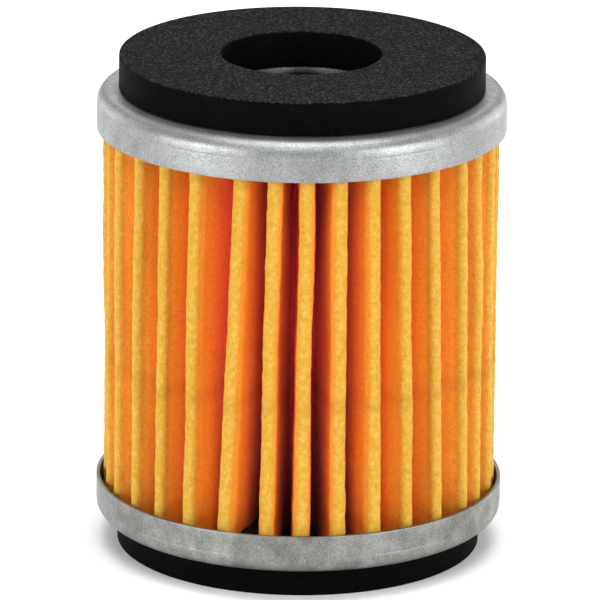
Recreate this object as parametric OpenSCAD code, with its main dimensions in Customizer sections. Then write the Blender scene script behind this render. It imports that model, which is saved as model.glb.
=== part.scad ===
// Cartridge oil filter for a small engine.
// A pleated paper ring on a perforated steel tube is potted between two pressed steel end caps,
// and a soft rubber gasket is glued to the outer face of each cap. Both ends are open.
// The origin is the centre of the lower gasket's face, and +Z runs up the filter's axis.
// Angles round the axis are measured from -Y, and grow towards +X.

/* [Overall] */
// Height over both gaskets
height = 47; // [42:0.5:60]
// Outside diameter of the end caps
cap_d = 38; // [37.8:0.1:40]

/* [End caps] */
// Thickness of the sheet steel
sheet_t = 0.4; // [0.3:0.05:0.5]
// Height of a cap's skirt, measured from its outer face
cap_h = 3.7; // [3.2:0.1:5]
// Outer radius of the bend between a cap's face and its skirt
cap_bend_r = 1.4; // [0.8:0.1:1.4]
// Diameter of the hole through the turned-in collar
collar_hole_d = 14.4; // [13:0.1:14.8]
// Depth of the collar below the cap's outer face
collar_h = 2.4; // [2:0.1:3]
// Outer radius of the bend between a cap's face and its collar
collar_bend_r = 0.8; // [0.6:0.1:1]

/* [Gaskets] */
// Outside diameter of both gaskets
gasket_d = 34; // [32:0.1:35]
// Diameter of the hole through both gaskets
gasket_hole_d = 14.9; // [14.8:0.1:16]
// Thickness of the upper gasket with its glue film
top_gasket_t = 3.2; // [2:0.1:4]
// Thickness of the lower gasket with its glue film
bottom_gasket_t = 2.7; // [2:0.1:4]
// Thickness of the glue film under each gasket
film_t = 0.1; // [0.05:0.05:0.2]
// Distance that the glue film stops short of the gasket's edges
film_inset = 0.4; // [0.2:0.1:1]

/* [Pleated paper] */
// Diameter over the outer folds
paper_d = 36.8; // [35.5:0.1:37]
// Diameter inside the inner folds
paper_hole_d = 19.6; // [19.4:0.1:21]
// Thickness of the paper
paper_t = 0.6; // [0.4:0.05:0.65]
// Radius on the inner side of a fold
fold_r = 0.06; // [0.04:0.01:0.1]
// Largest wander of a rear pleat from even spacing, in degrees
wander = 0.9; // [0:0.1:1.2]

/* [Centre tube] */
// Outside diameter of the perforated tube
tube_d = 19.2; // [18.6:0.1:19.2]
// Diameter of a perforation
hole_d = 2.4; // [1.5:0.1:2.8]
// Rows of perforations up the tube
hole_rows = 10; // [6:1:11]
// Perforations in a full row
hole_columns = 12; // [8:1:13]
// Width of the tube's lock seam
tube_seam_w = 2; // [1.5:0.25:2.5]

/* [Potting] */
// Thickness of the potting under the ends of the paper
potting_floor_t = 0.5; // [0.5:0.1:0.8]
// Depth to which the ends of the paper stand in the potting
potting_grip_h = 0.9; // [0.6:0.1:1.5]

/* [Hidden] */
$fn = 96;

// Angles of the front pleats in degrees, set by hand: a hand-folded ring is never quite even.
front_pleats = [-79.5, -68.5, -56, -44.5, -33, -20, -8.5, 1.5, 12, 22.5, 33, 44, 56.5, 66, 77];
rear_pleat_count = 17;
pleat_count = len(front_pleats) + rear_pleat_count;
last_front = front_pleats[len(front_pleats) - 1];
rear_pitch = (360 + front_pleats[0] - last_front) / (rear_pleat_count + 1);

// Pleat in which the strip's ends meet, and the slit and the glue there
seam_pleat = 22;
seam_slit_w = 0.08;
seam_depth = 1.5;

cap_r = cap_d / 2;
collar_hole_r = collar_hole_d / 2;
paper_r = paper_d / 2;
paper_hole_r = paper_hole_d / 2;
tube_r = tube_d / 2;

// Levels up the axis
bottom_cap_z = bottom_gasket_t;
top_cap_z = height - top_gasket_t;
paper_z0 = bottom_cap_z + sheet_t + potting_floor_t;
paper_z1 = top_cap_z - sheet_t - potting_floor_t;
paper_h = paper_z1 - paper_z0;
tube_z0 = paper_z0 - potting_floor_t / 2;
tube_h = paper_h + potting_floor_t;

function polar(r, a) = [r * sin(a), -r * cos(a)];
function heading(v) = atan2(v.y, v.x);

// Points on an arc round centre c, from heading a0 to heading a1.
function arc(c, r, a0, a1, steps) =
    [for (k = [0 : steps]) let (a = a0 + (a1 - a0) * k / steps) c + r * [cos(a), sin(a)]];

// Angle of pleat i. The rear pleats share out what the front ones leave, with a small wander.
function pleat_angle(i) =
    i >= pleat_count ? pleat_angle(i - pleat_count) + 360 :
    i < 0 ? pleat_angle(i + pleat_count) - 360 :
    i < len(front_pleats) ? front_pleats[i] :
    last_front + (i - len(front_pleats) + 1) * rear_pitch + wander * sin(137 * i);

// Centres of the outer fold of pleat i, and of the inner fold between pleats i and i + 1.
function outer_fold(i) = polar(paper_r - paper_t - fold_r, pleat_angle(i));
function inner_fold(i) =
    polar(paper_hole_r + paper_t + fold_r, (pleat_angle(i) + pleat_angle(i + 1)) / 2);

// Unit normal, on the paper's outer side, of the flat flank that is tangent to the outer fold at c
// and to the inner fold at d. Side is 1 where the flank is on the growing-angle side of its pleat.
function flank_normal(c, d, side) =
    let (u = (d - c) / norm(d - c), s = (2 * fold_r + paper_t) / norm(d - c))
    u * s + side * [u.y, -u.x] * sqrt(1 - s * s);

function normal_before(i) = flank_normal(outer_fold(i), inner_fold(i - 1), -1);
function normal_after(i) = flank_normal(outer_fold(i), inner_fold(i), 1);

// A heading brought to within half a turn of another one.
function near(a, b) = a - 360 * round((a - b) / 360);

// One face of the paper, with the given radii at its outer and inner folds.
function paper_face(outer_r, inner_r, outer_steps, inner_steps) = [
    for (i = [0 : pleat_count - 1])
        let (
            out = pleat_angle(i) - 90,
            in = (pleat_angle(i) + pleat_angle(i + 1)) / 2 + 90,
            h0 = near(heading(normal_before(i)), out - 90),
            h1 = near(heading(normal_after(i)), out + 90),
            h2 = near(heading(-normal_after(i)), in + 90),
            h3 = near(heading(-normal_before(i + 1)), in - 90)
        )
        each concat(
            arc(outer_fold(i), outer_r, h0, h1, outer_steps),
            arc(inner_fold(i), inner_r, h2, h3, inner_steps)
        )
];

// A disc with a hole, from z0 up to z0 + h.
module ring(r, hole_r, z0, h) {
    translate([0, 0, z0])
        difference() {
            cylinder(r = r, h = h);
            translate([0, 0, -1])
                cylinder(r = hole_r, h = h + 2);
        }
}

// Half-section of a pressed cap with its outer face at z = 0 and its skirt below it.
module cap_section() {
    bend_x = cap_r - cap_bend_r;
    collar_x = collar_hole_r + collar_bend_r;
    polygon(concat(
        [[collar_hole_r, -collar_h]],
        arc([collar_x, -collar_bend_r], collar_bend_r, 180, 90, 12),
        arc([bend_x, -cap_bend_r], cap_bend_r, 90, 0, 12),
        [[cap_r, -cap_h], [cap_r - sheet_t, -cap_h]],
        arc([bend_x, -cap_bend_r], cap_bend_r - sheet_t, 0, 90, 12),
        arc([collar_x, -collar_bend_r], collar_bend_r - sheet_t, 90, 180, 12),
        [[collar_hole_r + sheet_t, -collar_h]]
    ));
}

// Half-section of the potting that fills the bottom of a cap, in the same frame as the cap.
module potting_section() {
    bend_x = cap_r - cap_bend_r;
    collar_x = collar_hole_r + collar_bend_r;
    surface_z = -sheet_t - potting_floor_t - potting_grip_h;
    polygon(concat(
        [[collar_hole_r + sheet_t, surface_z], [cap_r - sheet_t, surface_z]],
        arc([bend_x, -cap_bend_r], cap_bend_r - sheet_t, 0, 90, 12),
        arc([collar_x, -collar_bend_r], collar_bend_r - sheet_t, 90, 180, 12)
    ));
}

// Places a child, drawn as the upper cap is, at the upper or lower end of the filter.
module at_top() {
    translate([0, 0, top_cap_z])
        children();
}

module at_bottom() {
    translate([0, 0, bottom_cap_z])
        mirror([0, 0, 1])
            children();
}

module end_cap() {
    color("silver")
        rotate_extrude()
            cap_section();
}

module gasket(z0, t) {
    color([0.12, 0.12, 0.13])
        ring(gasket_d / 2, gasket_hole_d / 2, z0, t);
}

module gasket_glue(z0) {
    color([0.75, 0.72, 0.6])
        ring(gasket_d / 2 - film_inset, gasket_hole_d / 2 + film_inset, z0, film_t);
}

// The space that the paper's inner face encloses.
module paper_inside() {
    polygon(paper_face(fold_r, fold_r + paper_t, 3, 6));
}

module paper_ring(z0, h) {
    translate([0, 0, z0])
        linear_extrude(height = h)
            difference() {
                polygon(paper_face(fold_r + paper_t, fold_r, 8, 3));
                paper_inside();
            }
}

// The strip's two ends meet in the seam pleat: its outer fold is slit, and glue fills the slit
// and the corner behind it.
module at_seam() {
    rotate(pleat_angle(seam_pleat) - 90)
        translate([paper_r - paper_t - fold_r, 0])
            children();
}

module seam_slit() {
    at_seam()
        translate([0, -seam_slit_w / 2])
            square([paper_t + 1, seam_slit_w]);
}

module pleated_paper() {
    color([0.95, 0.6, 0.15])
        difference() {
            paper_ring(paper_z0, paper_h);
            translate([0, 0, paper_z0 - 1])
                linear_extrude(height = paper_h + 2)
                    seam_slit();
        }
}

module seam_bead() {
    translate([0, 0, paper_z0])
        linear_extrude(height = paper_h)
            intersection() {
                union() {
                    paper_inside();
                    seam_slit();
                }
                at_seam()
                    translate([-seam_depth, -1])
                        square([seam_depth + paper_t, 2]);
            }
}

module paper_seam_glue() {
    color([0.85, 0.75, 0.45])
        seam_bead();
}

// Rolled tube, with a lock seam folded to its inner side.
module tube_blank() {
    ring(tube_r, tube_r - sheet_t, tube_z0, tube_h);
    intersection() {
        ring(tube_r - sheet_t / 2, tube_r - 3 * sheet_t, tube_z0, tube_h);
        translate([-tube_seam_w / 2, 0, tube_z0])
            cube([tube_seam_w, tube_r, tube_h]);
    }
}

// Every second row is turned by half a pitch, and leaves out the hole on the lock seam.
module perforations() {
    row_pitch = (paper_h - 2 * potting_grip_h) / hole_rows;
    for (row = [0 : hole_rows - 1], column = [row % 2 : hole_columns - 1])
        translate([0, 0, paper_z0 + potting_grip_h + (row + 0.5) * row_pitch])
            rotate([90, 0, 360 / hole_columns * (column + (1 - row % 2) / 2)])
                translate([0, 0, -tube_r - 1])
                    cylinder(d = hole_d, h = 2 + sheet_t, $fn = 32);
}

module center_tube() {
    color([0.7, 0.72, 0.74])
        difference() {
            tube_blank();
            perforations();
        }
}

// Potting of the cap at one end, with the ends of the paper and of the tube standing in it.
module potting() {
    color([0.2, 0.2, 0.2])
        difference() {
            children();
            paper_ring(paper_z0, paper_h);
            seam_bead();
            tube_blank();
        }
}

module potting_blank() {
    rotate_extrude()
        potting_section();
}

gasket(0, bottom_gasket_t - film_t);  // bottom_gasket
gasket_glue(bottom_cap_z - film_t);  // bottom_gasket_glue
at_bottom() end_cap();  // bottom_end_cap
potting() at_bottom() potting_blank();  // bottom_potting
center_tube();
pleated_paper();
paper_seam_glue();
potting() at_top() potting_blank();  // top_potting
at_top() end_cap();  // top_end_cap
gasket_glue(top_cap_z);  // top_gasket_glue
gasket(top_cap_z + film_t, top_gasket_t - film_t);  // top_gasket
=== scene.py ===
"""Cartridge oil filter: the detailed pieces that are seen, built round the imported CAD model.

Lengths are in millimetres while a shape is worked out, and the mesh is made in metres. The filter's
axis is Z. Angles round it are measured from -Y and grow towards +X, as in the CAD model.
"""
import math

import bmesh
import bpy
import numpy as np
from mathutils import Matrix, Vector


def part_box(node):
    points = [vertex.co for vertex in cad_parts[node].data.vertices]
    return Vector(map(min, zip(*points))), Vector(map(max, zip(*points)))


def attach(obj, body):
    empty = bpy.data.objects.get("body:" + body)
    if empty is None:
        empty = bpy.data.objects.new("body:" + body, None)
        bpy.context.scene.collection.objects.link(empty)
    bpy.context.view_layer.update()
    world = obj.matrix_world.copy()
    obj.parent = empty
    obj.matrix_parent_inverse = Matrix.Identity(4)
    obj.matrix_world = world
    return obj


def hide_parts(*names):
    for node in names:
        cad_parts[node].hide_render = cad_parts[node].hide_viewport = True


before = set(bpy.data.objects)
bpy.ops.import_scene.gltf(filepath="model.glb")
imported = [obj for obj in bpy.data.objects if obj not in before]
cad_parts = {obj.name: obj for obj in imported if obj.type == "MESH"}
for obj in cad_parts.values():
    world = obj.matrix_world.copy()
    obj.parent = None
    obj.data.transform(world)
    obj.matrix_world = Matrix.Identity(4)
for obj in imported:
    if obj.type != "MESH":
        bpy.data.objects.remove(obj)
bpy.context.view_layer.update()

MM = 0.001


# ---------------------------------------------------------------- sizes

def span(node):
    """Lowest level, highest level and outer radius of a CAD node, in millimetres."""
    low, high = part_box(node)
    return low.z / MM, high.z / MM, high.x / MM


# Sizes that the CAD model has too.
GASKET_HOLE_R = 7.45
COLLAR_HOLE_R = 7.2
COLLAR_DEPTH = 2.4
SHEET_T = 0.4
CAP_BEND_R = 1.4
COLLAR_BEND_R = 0.8
PAPER_T = 0.6
FOLD_R = 0.06
INNER_FOLDS_R = 9.8

# Inside DRAPE_R a gasket's inner edge drapes by DRAPE towards its cap. The upper bore is off centre.
DRAPE = 0.24
DRAPE_R = 8.05
BORE_SHIFT = (-0.12, 0.38)

# Angles of the front pleats at mid-height, and how far each turns from its foot to its head.
FRONT_PLEATS = (-79.5, -68.5, -56, -44.5, -33.2, -20, -8.6, 1.4, 11.8, 22.4, 32.9, 43.8, 56.6, 66, 77)
FRONT_LEAN = (0, 1, 1.7, 2, 2, 5, 1.7, 1, -0.5, -1.6, -3.3, -3.4, -3.8, -3.5, -2.5)
REAR_PLEAT_COUNT = 17
REAR_WANDER = 0.9
REAR_LEAN = 2.2
SEAM_PLEAT = 22

# The lower potting stands higher by MOUND_H at this angle, in one valley.
MOUND_ANGLE = -14.3
MOUND_H = 1.2


# ---------------------------------------------------------------- noise and meshes

def smooth_noise(x, y, seed, period=None):
    """Smooth noise from -1 to 1 at the points (x, y). It repeats along x after period cells."""
    x, y = np.broadcast_arrays(np.asarray(x, float), np.asarray(y, float))
    cell_x, cell_y = np.floor(x), np.floor(y)
    blend_x, blend_y = x - cell_x, y - cell_y
    blend_x = blend_x * blend_x * (3 - 2 * blend_x)
    blend_y = blend_y * blend_y * (3 - 2 * blend_y)

    def corner(step_x, step_y):
        column = cell_x + step_x
        if period:
            column = np.mod(column, period)
        value = np.sin(column * 127.1 + (cell_y + step_y) * 311.7 + seed * 74.7) * 43758.5453
        return 2 * (value - np.floor(value)) - 1

    low = corner(0, 0) * (1 - blend_x) + corner(1, 0) * blend_x
    high = corner(0, 1) * (1 - blend_x) + corner(1, 1) * blend_x
    return low * (1 - blend_y) + high * blend_y


def grid_faces(rows, columns, close_rows=False, start=0):
    """Quads of a grid of points that is closed round its columns, and perhaps round its rows."""
    row = np.arange(rows if close_rows else rows - 1)
    row, column = np.meshgrid(row, np.arange(columns), indexing="ij")
    next_row, next_column = (row + 1) % rows, (column + 1) % columns
    corners = [
        row * columns + column,
        row * columns + next_column,
        next_row * columns + next_column,
        next_row * columns + column,
    ]
    return start + np.stack(corners, -1).reshape(-1, 4)


def add_piece(name, points, faces, material, slot, *nodes):
    """Makes a smooth mesh from points in millimetres, and lets it stand for the CAD nodes."""
    mesh = bpy.data.meshes.new(name)
    mesh.from_pydata((np.asarray(points) * MM).tolist(), [], [list(map(int, f)) for f in faces])
    shape = bmesh.new()
    shape.from_mesh(mesh)
    bmesh.ops.recalc_face_normals(shape, faces=shape.faces)
    shape.to_mesh(mesh)
    shape.free()
    mesh.shade_smooth()
    mesh.materials.append(material)
    piece = bpy.data.objects.new(name, mesh)
    bpy.context.scene.collection.objects.link(piece)
    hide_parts(*nodes)
    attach(piece, "root")
    return piece


def on_circle(radius, angle, level):
    """Points at a radius, an angle in radians and a level, as an array of (x, y, z)."""
    radius, angle, level = np.broadcast_arrays(radius, angle, level)
    return np.stack([radius * np.sin(angle), -radius * np.cos(angle), level], -1)


def rounded_outline(corners, longest=0.6):
    """Closed outline through corners (r, z, rounding), with arcs at the corners.

    Straight stretches are divided so that no side is longer than longest.
    """
    count = len(corners)
    points = []
    for i, (r, z, rounding) in enumerate(corners):
        here = np.array([r, z])
        before = np.array(corners[i - 1][:2])
        after = np.array(corners[(i + 1) % count][:2])
        to_before = (before - here) / np.linalg.norm(before - here)
        to_after = (after - here) / np.linalg.norm(after - here)
        half = math.acos(max(-1, min(1, float(to_before @ to_after)))) / 2
        if rounding == 0 or half > math.radians(89):
            points.append(here)
            continue
        setback = rounding / math.tan(half)
        middle = (to_before + to_after) / np.linalg.norm(to_before + to_after)
        centre = here + middle * rounding / math.sin(half)
        start = here + to_before * setback - centre
        end = here + to_after * setback - centre
        steps = max(2, math.ceil((math.pi - 2 * half) / math.radians(12)))
        for k in range(steps + 1):
            mix = k / steps
            turn = math.pi - 2 * half
            weight_start = math.sin((1 - mix) * turn) / math.sin(turn)
            weight_end = math.sin(mix * turn) / math.sin(turn)
            points.append(centre + start * weight_start + end * weight_end)
    outline = []
    for a, b in zip(points, points[1:] + points[:1]):
        parts = max(1, math.ceil(np.linalg.norm(b - a) / longest))
        outline += [a + (b - a) * k / parts for k in range(parts)]
    return np.array(outline)


def revolve(outline, segments, shift=None):
    """Points and faces of an outline turned round the axis.

    shift gives how far each point moves out and up, from its radius, angle and level.
    """
    angle = np.linspace(0, 2 * math.pi, segments, endpoint=False)[None, :]
    radius = outline[:, 0][:, None] + 0 * angle
    level = outline[:, 1][:, None] + 0 * angle
    if shift:
        out, up = shift(radius, angle, level)
        radius, level = radius + out, level + up
    points = on_circle(radius, angle + 0 * radius, level).reshape(-1, 3)
    return points, grid_faces(len(outline), segments, close_rows=True)


# ---------------------------------------------------------------- materials

def new_material(name):
    """A material with an empty node tree, its shader, and a helper that adds and links nodes."""
    material = bpy.data.materials.new(name)
    material.use_nodes = True
    tree = material.node_tree
    shader = tree.nodes["Principled BSDF"]

    def node(kind, settings=None, **inputs):
        made = tree.nodes.new(kind)
        for key, value in (settings or {}).items():
            setattr(made, key, value)
        for key, value in inputs.items():
            numbered = key[0] == "i" and key[1:].isdigit()
            socket = made.inputs[int(key[1:]) if numbered else key]
            if isinstance(value, bpy.types.NodeSocket):
                tree.links.new(value, socket)
            else:
                socket.default_value = value
        return made

    def to_shader(socket_name, value):
        if isinstance(value, bpy.types.NodeSocket):
            tree.links.new(value, shader.inputs[socket_name])
        else:
            shader.inputs[socket_name].default_value = value

    return material, node, to_shader


def ramp(node, factor, stops):
    """Colour ramp of (position, colour or grey) stops, driven by factor."""
    made = node("ShaderNodeValToRGB", Fac=factor)
    elements = made.color_ramp.elements
    elements[0].position = stops[0][0]
    elements[1].position = stops[-1][0]
    for position, colour in stops[1:-1]:
        elements.new(position)
    for element, (position, colour) in zip(elements, stops):
        if isinstance(colour, (int, float)):
            colour = (colour, colour, colour)
        element.color = (*colour, 1)
    return made.outputs["Color"]


def texture_noise(node, place, scale, detail=3.0, roughness=0.55, distortion=0.0):
    """Grey noise with features about 1 / scale metres across."""
    made = node("ShaderNodeTexNoise", Vector=place, Scale=scale, Detail=detail,
                Roughness=roughness, Distortion=distortion)
    return made.outputs["Fac"]


def math_node(node, operation, a, b):
    """Result of one arithmetic operation."""
    return node("ShaderNodeMath", {"operation": operation}, i0=a, i1=b).outputs[0]


def mix_colours(node, blend, factor, a, b):
    """Two colours mixed by factor."""
    made = node("ShaderNodeMix", {"data_type": "RGBA", "blend_type": blend}, i0=factor, i6=a, i7=b)
    return made.outputs[2]


def bump(node, height, distance, strength=1.0, below=None):
    """Normal from a height, in metres, on top of another bump if one is given."""
    made = node("ShaderNodeBump", Strength=strength, Distance=distance, Height=height)
    if below:
        made.id_data.links.new(below, made.inputs["Normal"])
    return made.outputs["Normal"]


def object_place(node):
    """Place in the filter's own frame, in metres."""
    return node("ShaderNodeTexCoord").outputs["Object"]


def radius_mm(node, place):
    """Distance from the axis, in millimetres."""
    parts = node("ShaderNodeSeparateXYZ", Vector=place)
    square_x = math_node(node, "MULTIPLY", parts.outputs["X"], parts.outputs["X"])
    square_y = math_node(node, "MULTIPLY", parts.outputs["Y"], parts.outputs["Y"])
    total = math_node(node, "ADD", square_x, square_y)
    return math_node(node, "MULTIPLY", math_node(node, "SQRT", total, 0.0), 1 / MM)


PLEAT_DEPTH = 9.0
BAND_HEIGHT = 18.4


def paper_material(outer_r):
    """Resin-cured filter paper of its own orange-yellow. By depth it is painted yellow at the crests,
    darker beside them, then orange to deep red and dark down the pleats: painted shade and painted
    bounce light in the valleys.
    """
    material, node, to_shader = new_material("filter_paper")
    place = object_place(node)
    depth = math_node(node, "SUBTRACT", outer_r, radius_mm(node, place))
    mottle = texture_noise(node, place, 900, 4, 0.6)
    depth_noise = math_node(node, "MULTIPLY", math_node(node, "SUBTRACT", mottle, 0.5), 0.5)
    depth = math_node(node, "ADD", depth, depth_noise)
    deep = math_node(node, "DIVIDE", depth, PLEAT_DEPTH)
    # Painted shade by depth: a darker strip beside each crest, then crimson and dark towards the valley
    # bottoms, standing in for shade and bounce light in the pleats.
    tone = ramp(node, deep, [
        (0.0, (0.52, 0.285, 0.033)),
        (0.028, (0.52, 0.275, 0.026)),
        (0.055, (0.60, 0.225, 0.022)),
        (0.12, (0.85, 0.32, 0.03)),
        (0.24, (0.94, 0.33, 0.04)),
        (0.37, (0.92, 0.28, 0.06)),
        (0.52, (0.93, 0.20, 0.11)),
        (0.66, (1.0, 0.165, 0.15)),
        (0.8, (0.95, 0.10, 0.095)),
        (1.0, (0.55, 0.05, 0.04)),
    ])
    # The resin is blotchy on the crests only.
    at_tip = ramp(node, deep, [(0.03, 1.0), (0.07, 0.0)])
    blotches = texture_noise(node, place, 2100, 3, 0.6)
    tone = mix_colours(node, "MULTIPLY", at_tip, tone, ramp(node, blotches, [
        (0.34, (0.93, 0.93, 0.35)),
        (0.5, (1.0, 1.0, 0.85)),
        (0.66, (1.06, 1.08, 2.0)),
    ]))
    tone = mix_colours(node, "MULTIPLY", 1.0, tone, ramp(node, blotches, [(0.3, 0.95), (0.7, 1.05)]))
    fibres = texture_noise(node, place, 7000, 3, 0.7)
    tone = mix_colours(node, "MULTIPLY", 1.0, tone, ramp(node, fibres, [(0.3, 0.82), (0.7, 1.16)]))
    # A faint darker band runs round the paper.
    height = node("ShaderNodeSeparateXYZ", Vector=place).outputs["Z"]
    height = math_node(node, "MULTIPLY", height, 1 / MM)
    from_band = math_node(node, "ABSOLUTE", math_node(node, "SUBTRACT", height, BAND_HEIGHT), 0.0)
    band = math_node(node, "ADD", from_band, math_node(node, "MULTIPLY", mottle, 0.8))
    tone = mix_colours(node, "MULTIPLY", 1.0, tone, ramp(node, math_node(node, "MULTIPLY", band, 0.5), [
        (0.2, (0.90, 0.86, 0.86)),
        (0.8, (1.0, 1.0, 1.0)),
    ]))
    # Deep parts of the pleats are darkened towards the lower potting: painted shade at the bottom of the
    # valleys.
    painted_low_shade = ramp(node, math_node(node, "DIVIDE", height, 40.0), [(0.12, 0.2), (0.3, 0.6), (0.6, 1.0)])
    tone = mix_colours(node, "MULTIPLY", ramp(node, deep, [(0.3, 0.0), (0.65, 1.0)]), tone, painted_low_shade)
    to_shader("Base Color", tone)
    to_shader("Roughness", 0.65)
    to_shader("Specular IOR Level", 0.2)
    to_shader("Sheen Weight", 0.03)
    to_shader("Sheen Roughness", 0.4)
    to_shader("Sheen Tint", (1.0, 0.85, 0.6, 1))
    coarse = texture_noise(node, place, 1500, 3, 0.6)
    normal = bump(node, coarse, 0.00012, 0.6)
    to_shader("Normal", bump(node, fibres, 0.00009, 0.8, normal))
    return material


def rubber_material():
    """Black closed-cell rubber with a fine granular skin on its flat faces, which are painted lighter
    than the cut sides: painted sheen of light grazing the faces.
    """
    material, node, to_shader = new_material("gasket_rubber")
    place = object_place(node)
    normal = node("ShaderNodeSeparateXYZ", Vector=node("ShaderNodeNewGeometry").outputs["Normal"])
    # Flat faces, found from the normal, get a lighter tone than the cut sides: painted sheen of grazing
    # light.
    face = ramp(node, math_node(node, "ABSOLUTE", normal.outputs["Z"], 0.0), [(0.5, 0.0), (0.85, 1.0)])
    grain = texture_noise(node, place, 4500, 2, 0.7)
    cloud = texture_noise(node, place, 500, 2, 0.5)
    skin_with_painted_sheen = ramp(node, grain, [(0.4, 0.0), (0.52, 0.004), (0.66, 0.04)])
    cut = ramp(node, grain, [(0.3, 0.0008), (0.7, 0.003)])
    tone = mix_colours(node, "MIX", face, cut, skin_with_painted_sheen)
    tone = mix_colours(node, "MULTIPLY", 1.0, tone, ramp(node, cloud, [(0.3, 0.85), (0.7, 1.15)]))
    to_shader("Base Color", tone)
    to_shader("Roughness", ramp(node, grain, [(0.3, 0.5), (0.7, 0.7)]))
    to_shader("Specular IOR Level", 0.015)
    to_shader("Normal", bump(node, grain, 0.00008, 0.8))
    return material


def zinc_material(name, bright, dark, painted_shade_r=0.0):
    """Dull zinc plating on pressed steel, with a fine mottle and faint marks of the press.

    Within the radius given last, in millimetres from the axis, it is darkened and is browner where x is
    small: painted shade where the gasket's bore overhangs the collar.
    """
    material, node, to_shader = new_material(name)
    place = object_place(node)
    grain = texture_noise(node, place, 6500, 3, 0.7)
    cloud = texture_noise(node, place, 420, 3, 0.55)
    tone = ramp(node, cloud, [(0.3, dark), (0.7, bright)])
    speckle = ramp(node, grain, [(0.28, 0.6), (0.5, 1.0), (0.72, 1.4)])
    tone = mix_colours(node, "MULTIPLY", 1.0, tone, speckle)
    # Painted shade round the collar: darker, and browner where x is small.
    if painted_shade_r:
        patch = texture_noise(node, place, 330, 2, 0.5)
        edge = math_node(node, "ADD", radius_mm(node, place), math_node(node, "MULTIPLY", patch, 0.8))
        painted_shade_mask = ramp(node, math_node(node, "SUBTRACT", edge, painted_shade_r), [(0.0, 1.0), (0.5, 0.0)])
        across = node("ShaderNodeSeparateXYZ", Vector=place).outputs["X"]
        across = math_node(node, "MULTIPLY", math_node(node, "ABSOLUTE", across, 0.0), 1 / MM)
        across = math_node(node, "ADD", across, patch)
        shade_brown = ramp(node, math_node(node, "MULTIPLY", across, 0.2), [
            (0.25, (0.10, 0.088, 0.07)),
            (0.5, (0.30, 0.30, 0.31)),
        ])
        shaded_tone = mix_colours(node, "MULTIPLY", 1.0, tone, shade_brown)
        tone = mix_colours(node, "MIX", painted_shade_mask, tone, shaded_tone)
    to_shader("Base Color", tone)
    to_shader("Metallic", 0.85)
    to_shader("Roughness", ramp(node, grain, [(0.3, 0.5), (0.7, 0.38)]))
    to_shader("Normal", bump(node, grain, 0.00004, 0.6))
    return material


def compound_material():
    """Cured black plastisol, a little glossy and lumpy."""
    material, node, to_shader = new_material("potting_compound")
    place = object_place(node)
    lumps = texture_noise(node, place, 1300, 3, 0.6)
    to_shader("Base Color", ramp(node, lumps, [(0.3, 0.001), (0.75, 0.006)]))
    to_shader("Roughness", ramp(node, lumps, [(0.3, 0.5), (0.7, 0.7)]))
    to_shader("Specular IOR Level", 0.15)
    to_shader("Normal", bump(node, lumps, 0.0002, 0.7))
    return material


def glue_material(name, colour, rough):
    """Dried adhesive, uneven in tone."""
    material, node, to_shader = new_material(name)
    place = object_place(node)
    streaks = texture_noise(node, place, 900, 3, 0.6, 0.4)
    pale = tuple(min(1, c * 1.25) for c in colour)
    deep = tuple(c * 0.6 for c in colour)
    to_shader("Base Color", ramp(node, streaks, [(0.3, deep), (0.7, pale)]))
    to_shader("Roughness", ramp(node, streaks, [(0.3, rough), (0.7, rough + 0.2)]))
    to_shader("Normal", bump(node, streaks, 0.00008, 0.6))
    return material


# ---------------------------------------------------------------- pleated paper

paper_low, paper_high, paper_r = span("pleated_paper")
OUTER_LEVELS = 150
INNER_LEVELS = 12
TIP_POINTS = 7
TIP_SQUARENESS = 2.2
INNER_FOLD_POINTS = 3
FLANK_PLACES = np.array([0.12, 0.36, 0.62, 0.86])
BEAD_LEVELS = 240
BEAD_SIDES = 10


def pleat_angles(level):
    """Angle of every pleat at each level, in radians, as an array of levels by pleats."""
    share = (np.asarray(level) - paper_low) / (paper_high - paper_low) - 0.5
    pitch = (360 + FRONT_PLEATS[0] - FRONT_PLEATS[-1]) / (REAR_PLEAT_COUNT + 1)
    rear = [FRONT_PLEATS[-1] + (k + 1) * pitch for k in range(REAR_PLEAT_COUNT)]
    numbers = np.arange(len(FRONT_PLEATS), len(FRONT_PLEATS) + REAR_PLEAT_COUNT)
    rear = np.array(rear) + REAR_WANDER * np.sin(np.radians(137 * numbers))
    middle = np.concatenate([FRONT_PLEATS, rear])
    lean = np.concatenate([FRONT_LEAN, REAR_LEAN * np.sin(np.radians(73 * numbers))])
    lean[SEAM_PLEAT] = 0
    angle = middle[None, :] + lean[None, :] * share[:, None]
    number = np.arange(len(middle))[None, :]
    wobble = 0.16 * smooth_noise(number * 7.3, share[:, None] * 5, 3)
    wobble[:, SEAM_PLEAT] = 0
    return np.radians(angle + wobble)


def unit(vectors):
    """Vectors of length 1."""
    return vectors / np.linalg.norm(vectors, axis=-1, keepdims=True)


def heading(vectors):
    """Direction of each vector, in radians from X."""
    return np.arctan2(vectors[..., 1], vectors[..., 0])


def flank_normals(outer, inner, side):
    """Normals, on the outer side of the paper, of flanks from outer to inner fold centres."""
    length = np.linalg.norm(inner - outer, axis=-1, keepdims=True)
    along = (inner - outer) / length
    lift = (2 * FOLD_R + PAPER_T) / length
    across = side * np.stack([along[..., 1], -along[..., 0]], -1)
    return along * lift + across * np.sqrt(1 - lift * lift)


def fold_arc(centre, radius, first, last, through, count, squareness=2.0):
    """Points round a fold from the direction first to last, passing the heading through.

    A squareness over 2 makes the fold's crest flatter than a circle.
    """
    start = through + np.angle(np.exp(1j * (heading(first) - through)))
    end = through + np.angle(np.exp(1j * (heading(last) - through)))
    steps = np.linspace(0, 1, count)
    turn = start[..., None] + (end - start)[..., None] * steps
    off = turn - through[..., None]
    bulge = (np.abs(np.cos(off)) ** squareness + np.abs(np.sin(off)) ** squareness) ** (-1 / squareness)
    reach = radius * bulge
    return centre[..., None, :] + np.stack([reach * np.cos(turn), reach * np.sin(turn)], -1)


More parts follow.
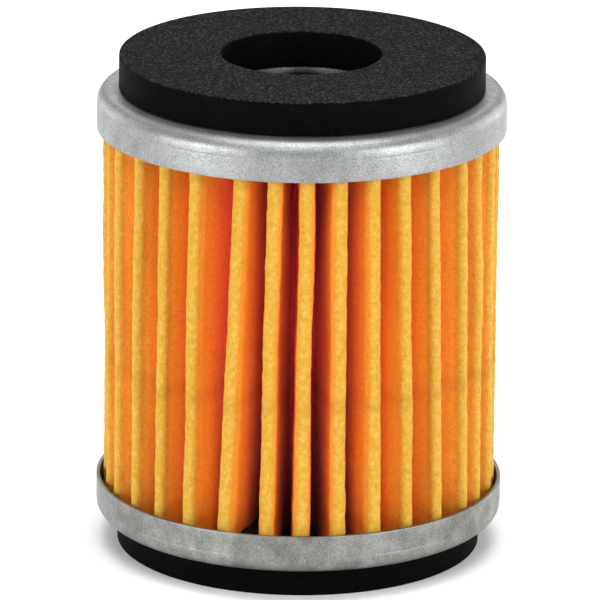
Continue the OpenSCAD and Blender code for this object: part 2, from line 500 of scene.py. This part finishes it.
def paper_face(level, outside):
    """Points of one face of the paper, as an array of levels by points round the ring by (x, y)."""
    angle = pleat_angles(level)
    number = np.arange(angle.shape[1])[None, :]
    height = np.asarray(level)[:, None]
    next_angle = np.concatenate([angle[:, 1:], angle[:, :1] + 2 * math.pi], 1)
    tip_r = paper_r - 0.06 + 0.12 * smooth_noise(number * 5.1, height / 9, 11)
    tip_r[:, SEAM_PLEAT] = paper_r - 0.12
    outer_r = tip_r - PAPER_T - FOLD_R
    outer = np.stack([outer_r * np.sin(angle), -outer_r * np.cos(angle)], -1)
    middle = (angle + next_angle) / 2
    inner_r = INNER_FOLDS_R + PAPER_T + FOLD_R + 0.3 * (1 + smooth_noise(number * 3.7, height / 14, 5))
    inner = np.stack([inner_r * np.sin(middle), -inner_r * np.cos(middle)], -1)
    next_outer = np.concatenate([outer[:, 1:], outer[:, :1]], 1)

    after = flank_normals(outer, inner, 1)
    next_before = flank_normals(next_outer, inner, -1)
    before = np.concatenate([next_before[:, -1:], next_before[:, :-1]], 1)
    outer_reach = FOLD_R + PAPER_T if outside else FOLD_R
    inner_reach = FOLD_R if outside else FOLD_R + PAPER_T

    tip = fold_arc(outer, outer_reach, before, after, angle - math.pi / 2, TIP_POINTS,
                   TIP_SQUARENESS if outside else 2.0)
    valley = fold_arc(inner, inner_reach, -after, -next_before, middle + math.pi / 2,
                      INNER_FOLD_POINTS)

    place = FLANK_PLACES[:, None]
    bend_shape = np.sin(math.pi * place) * (1 - place) ** 0.7

    def flank(centre, normal, bend):
        start = (centre + normal * outer_reach)[..., None, :]
        end = (inner - normal * inner_reach)[..., None, :]
        return start + (end - start) * place + normal[..., None, :] * bend[..., None, None] * bend_shape

    bend_after = 0.32 * smooth_noise(number * 2.9, height / 11, 21)
    bend_before = 0.32 * smooth_noise(number * 2.9, height / 11, 22)
    down = flank(outer, after, bend_after)
    up = flank(next_outer, next_before, bend_before)[..., ::-1, :]
    ring = np.concatenate([tip, down, valley, up], 2)
    return ring.reshape(len(level), -1, 2)


def roughen(ring, level, amount, point_pitch, level_pitch, seed):
    """Moves each point of a ring along its own normal by smooth noise."""
    along = np.roll(ring, -1, 1) - np.roll(ring, 1, 1)
    normal = unit(np.stack([along[..., 1], -along[..., 0]], -1))
    point = np.arange(ring.shape[1])[None, :] / point_pitch
    row = np.asarray(level)[:, None] / level_pitch
    noise = smooth_noise(point, row, seed, ring.shape[1] / point_pitch)
    return ring + normal * amount * noise[..., None]


def make_paper():
    """The pleated strip: a fine outer face, a coarser inner face, and the edges that join them."""
    outer_level = np.linspace(paper_low, paper_high, OUTER_LEVELS)
    inner_level = np.linspace(paper_low, paper_high, INNER_LEVELS)
    outer = paper_face(outer_level, True)
    outer = roughen(outer, outer_level, 0.03, 3, 1.1, 31)
    outer = roughen(outer, outer_level, 0.03, 1, 0.4, 32)
    inner = paper_face(inner_level, False)
    columns = outer.shape[1]

    def with_level(ring, level):
        flat = np.broadcast_to(np.asarray(level)[:, None, None], (*ring.shape[:2], 1))
        return np.concatenate([ring, flat], -1).reshape(-1, 3)

    points = np.concatenate([with_level(outer, outer_level), with_level(inner, inner_level)])
    inner_start = OUTER_LEVELS * columns
    faces = [grid_faces(OUTER_LEVELS, columns), grid_faces(INNER_LEVELS, columns, start=inner_start)]
    here = np.arange(columns)
    there = (here + 1) % columns
    outer_top = (OUTER_LEVELS - 1) * columns
    inner_top = inner_start + (INNER_LEVELS - 1) * columns
    for outer_row, inner_row in ((0, inner_start), (outer_top, inner_top)):
        edge = [outer_row + here, outer_row + there, inner_row + there, inner_row + here]
        faces.append(np.stack(edge, -1))
    faces = np.concatenate(faces)
    material = paper_material(paper_r)
    add_piece("pleated_paper_strip", points, faces, material, "filter_paper", "pleated_paper")


def make_seam_bead():
    """Lumpy bead of glue on the crest of the pleat where the strip's two ends meet."""
    level = np.linspace(paper_low + 0.1, paper_high - 0.1, BEAD_LEVELS)
    sides = BEAD_SIDES
    turn = np.linspace(0, 2 * math.pi, sides, endpoint=False)
    wide = 0.27 + 0.1 * smooth_noise(level / 1.1, 0, 71)
    proud = 0.11 + 0.04 * smooth_noise(level / 0.8, 0, 72)
    wander = 0.06 * smooth_noise(level / 2.5, 0, 73)
    middle = pleat_angles(level)[:, SEAM_PLEAT]
    radius = paper_r - 0.13 + proud[:, None] * np.cos(turn)
    aside = wide[:, None] * np.sin(turn) + wander[:, None]
    points = on_circle(radius, middle[:, None] + aside / paper_r, level[:, None]).reshape(-1, 3)
    ends = [range(sides), range(len(points) - sides, len(points))]
    faces = [*grid_faces(len(level), sides), *ends]
    material = glue_material("seam_glue", (0.68, 0.37, 0.08), 0.25)
    add_piece("seam_glue_bead", points, faces, material, "seam_glue", "paper_seam_glue")


# ---------------------------------------------------------------- caps and gaskets

def press_wobble(seed, amount):
    """Slight waviness, in and out, of a pressed or punched ring."""
    def shift(radius, angle, level):
        turn = angle / (2 * math.pi)
        return amount * smooth_noise(turn * 9, level / 6, seed, 9), 0 * radius
    return shift


CAP_WOBBLE = 0.03
DRAW_LINE = -1.65


def make_cap(name, node, face, up):
    """Pressed cap: turned-in collar, flat face, bend, and skirt with a faint draw line.

    face is the level of the outer face. up is 1 for the upper cap and -1 for the lower one.
    """
    low, high, radius = span(node)
    skirt = high - low
    outline = rounded_outline([
        (COLLAR_HOLE_R, -COLLAR_DEPTH, 0.12),
        (COLLAR_HOLE_R, 0, COLLAR_BEND_R),
        (radius, 0, CAP_BEND_R),
        (radius, DRAW_LINE + 0.15, 0.1),
        (radius - 0.012, DRAW_LINE, 0.06),
        (radius, DRAW_LINE - 0.15, 0.1),
        (radius, -skirt, 0.12),
        (radius - SHEET_T, -skirt, 0.12),
        (radius - SHEET_T, -SHEET_T, CAP_BEND_R - SHEET_T),
        (COLLAR_HOLE_R + SHEET_T, -SHEET_T, COLLAR_BEND_R - SHEET_T),
        (COLLAR_HOLE_R + SHEET_T, -COLLAR_DEPTH, 0.12),
    ])
    outline[:, 1] = face + up * outline[:, 1]
    outside = outline[:, 0] > radius - CAP_WOBBLE
    outline[outside, 0] -= CAP_WOBBLE
    points, faces = revolve(outline, 288, press_wobble(41 if up > 0 else 45, CAP_WOBBLE))
    if up > 0:
        material = zinc_material("cap_zinc_upper", (0.30, 0.31, 0.305), (0.22, 0.23, 0.225), 8.6)
    else:
        # Same zinc as the upper cap, given darker tones as painted shade of the shadowed floor it
        # reflects; its stronger mottle is its own.
        material = zinc_material("cap_zinc_lower_shaded", (0.265, 0.27, 0.255), (0.13, 0.134, 0.125), 8.6)
    add_piece(name, points, faces, material, "cap_steel", node)


def make_gasket(name, node, up, material, seed, bore_shift=(0, 0)):
    """Punched rubber ring, its inner edge draped over the bend of the cap's collar.

    The bore slants: bore_shift is how far its free end lies off centre.
    """
    low, high, radius = span(node)
    glued, free = (low, high) if up > 0 else (high, low)
    edge = 0.16
    side_r = radius - 0.04
    outline = rounded_outline([
        (GASKET_HOLE_R, glued - up * DRAPE, edge),
        (DRAPE_R, glued, 0.3),
        (side_r, glued, edge),
        (side_r, free, edge),
        (GASKET_HOLE_R, free, edge),
    ], 0.5)
    points, faces = revolve(outline, 256, press_wobble(seed, 0.035))
    around = np.hypot(points[:, 0], points[:, 1])
    share = np.clip((radius - around) / (radius - GASKET_HOLE_R), 0, 1)
    share = share * np.clip((points[:, 2] - glued) / (free - glued), 0.05, 1)
    points[:, :2] += share[:, None] * np.array(bore_shift)
    add_piece(name, points, faces, material, "gasket_rubber", node)


def make_film(name, node, material, seed):
    """Smear of glue under a gasket, with an uneven edge."""
    low, high, radius = span(node)
    inner = DRAPE_R + 0.15
    edge = 0.03
    outline = rounded_outline([
        (inner, low, edge),
        (radius, low, edge),
        (radius, high, edge),
        (inner, high, edge),
    ], 1.0)

    def shift(around, angle, level):
        turn = angle / (2 * math.pi)
        outward = np.where(around > (DRAPE_R + radius) / 2, 1, -1)
        return 0.12 * outward * smooth_noise(turn * 60, outward, seed, 60), 0 * around

    points, faces = revolve(outline, 360, shift)
    add_piece(name, points, faces, material, "gasket_glue", node)


def make_potting(name, node, face, up, material):
    """Compound in a cap: it creeps up the skirt and the collar, and stands higher in one valley."""
    low, high, radius = span(node)
    depth = high - low + SHEET_T
    inner = COLLAR_HOLE_R + SHEET_T
    outline = rounded_outline([
        (inner, -depth, 0),
        (inner, -SHEET_T, COLLAR_BEND_R - SHEET_T),
        (radius, -SHEET_T, CAP_BEND_R - SHEET_T),
        (radius, -depth, 0),
    ], 0.25)
    top = outline[:, 1] < -depth + 0.001
    outline[:, 1] = face + up * outline[:, 1]

    def shift(around, angle, level):
        turn = angle / (2 * math.pi)
        rise = 0.12 * smooth_noise(turn * 90, around / 1.3, 61, 90)
        rise = rise + 0.35 * np.exp(-((around - radius) / 0.35) ** 2)
        creep = 0.4 + 0.3 * smooth_noise(turn * 40, 0 * around, 67, 40)
        rise = rise + creep * np.exp(-((around - 10.6) / 1.8) ** 2)
        if up < 0:
            degrees = np.degrees(np.angle(np.exp(1j * angle)))
            across = np.exp(-((degrees - MOUND_ANGLE) / 5.6) ** 8)
            front = np.clip((18.1 - around) / 0.6, 0, 1)
            rise = rise + MOUND_H * front * across
        return 0 * around, -up * rise * top[:, None]

    points, faces = revolve(outline, 512, shift)
    add_piece(name, points, faces, material, "potting_compound", node)


# ---------------------------------------------------------------- camera, light and floor

CAMERA_DISTANCE = 0.6616
CAMERA_ELEVATION = 17.33
CAMERA_ROLL = 0.61
CAMERA_LENS = 425.7
AIM_HEIGHT = 0.0232


def make_camera():
    """Camera at the height and distance from which the filter is seen in the photograph."""
    data = bpy.data.cameras.new("camera")
    data.lens = CAMERA_LENS
    data.sensor_width = 36
    camera = bpy.data.objects.new("camera", data)
    bpy.context.scene.collection.objects.link(camera)
    elevation = math.radians(CAMERA_ELEVATION)
    back = Vector((0, -math.cos(elevation), math.sin(elevation)))
    turn = back.to_track_quat("Z", "Y").to_matrix().to_4x4()
    roll = Matrix.Rotation(math.radians(CAMERA_ROLL), 4, "Z")
    place = Matrix.Translation(Vector((0, 0, AIM_HEIGHT)) + back * CAMERA_DISTANCE)
    camera.matrix_world = place @ turn @ roll
    bpy.context.scene.camera = camera


def make_light(name, place, size, power, target=(0, 0, 0.025)):
    """Square soft box at a place, facing target."""
    data = bpy.data.lights.new(name, "AREA")
    data.size = size
    data.energy = power
    light = bpy.data.objects.new(name, data)
    bpy.context.scene.collection.objects.link(light)
    away = Vector(place) - Vector(target)
    light.matrix_world = Matrix.Translation(place) @ away.to_track_quat("Z", "Y").to_matrix().to_4x4()


def make_studio():
    """Pale floor, white surroundings and soft boxes."""
    mesh = bpy.data.meshes.new("floor")
    half = 3.0
    corners = [(-half, -half, 0), (half, -half, 0), (half, half, 0), (-half, half, 0)]
    mesh.from_pydata(corners, [], [(0, 1, 2, 3)])
    floor = bpy.data.objects.new("floor", mesh)
    bpy.context.scene.collection.objects.link(floor)
    material, node, to_shader = new_material("floor_paper")
    to_shader("Base Color", (0.88, 0.88, 0.88, 1))
    to_shader("Roughness", 0.9)
    mesh.materials.append(material)

    world = bpy.data.worlds.new("studio")
    bpy.context.scene.world = world
    world.use_nodes = True
    background = world.node_tree.nodes["Background"]
    background.inputs["Color"].default_value = (1, 1, 1, 1)
    background.inputs["Strength"].default_value = 0.3

    make_light("front_box", (0, -0.5, 0.6), 0.35, 1.3)
    make_light("left_box", (-0.5, -0.33, 0.15), 0.3, 2.8)
    make_light("right_box", (0.5, -0.33, 0.15), 0.3, 3.0)
    make_light("left_rear_box", (-0.45, 0.35, 0.13), 0.35, 1.0)
    make_light("right_rear_box", (0.45, 0.35, 0.13), 0.35, 1.4)
    make_light("top_box", (0, 0.0, 0.6), 0.4, 3.0)
    make_light("back_box", (0, 0.9, 0.6), 0.8, 2.8, target=(0, 0.3, 0))
    bpy.context.scene.view_settings.view_transform = "Standard"


# ---------------------------------------------------------------- the filter

make_camera()
make_studio()

rubber = rubber_material()
compound = compound_material()
gasket_glue = glue_material("gasket_glue", (0.03, 0.025, 0.018), 0.45)

make_paper()
make_seam_bead()
bottom_face = span("bottom_end_cap")[0]
top_face = span("top_end_cap")[1]
make_cap("bottom_cap_pressing", "bottom_end_cap", bottom_face, -1)
make_cap("top_cap_pressing", "top_end_cap", top_face, 1)
make_potting("bottom_potting_ring", "bottom_potting", bottom_face, -1, compound)
make_potting("top_potting_ring", "top_potting", top_face, 1, compound)
make_gasket("bottom_gasket_ring", "bottom_gasket", -1, rubber, 51)
make_gasket("top_gasket_ring", "top_gasket", 1, rubber, 53, BORE_SHIFT)
make_film("bottom_glue_film", "bottom_gasket_glue", gasket_glue, 57)
make_film("top_glue_film", "top_gasket_glue", gasket_glue, 59)

tube_steel = zinc_material("tube_steel", (0.7, 0.71, 0.72), (0.55, 0.56, 0.57))
for slot_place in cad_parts["center_tube"].material_slots:
    slot_place.material = tube_steel
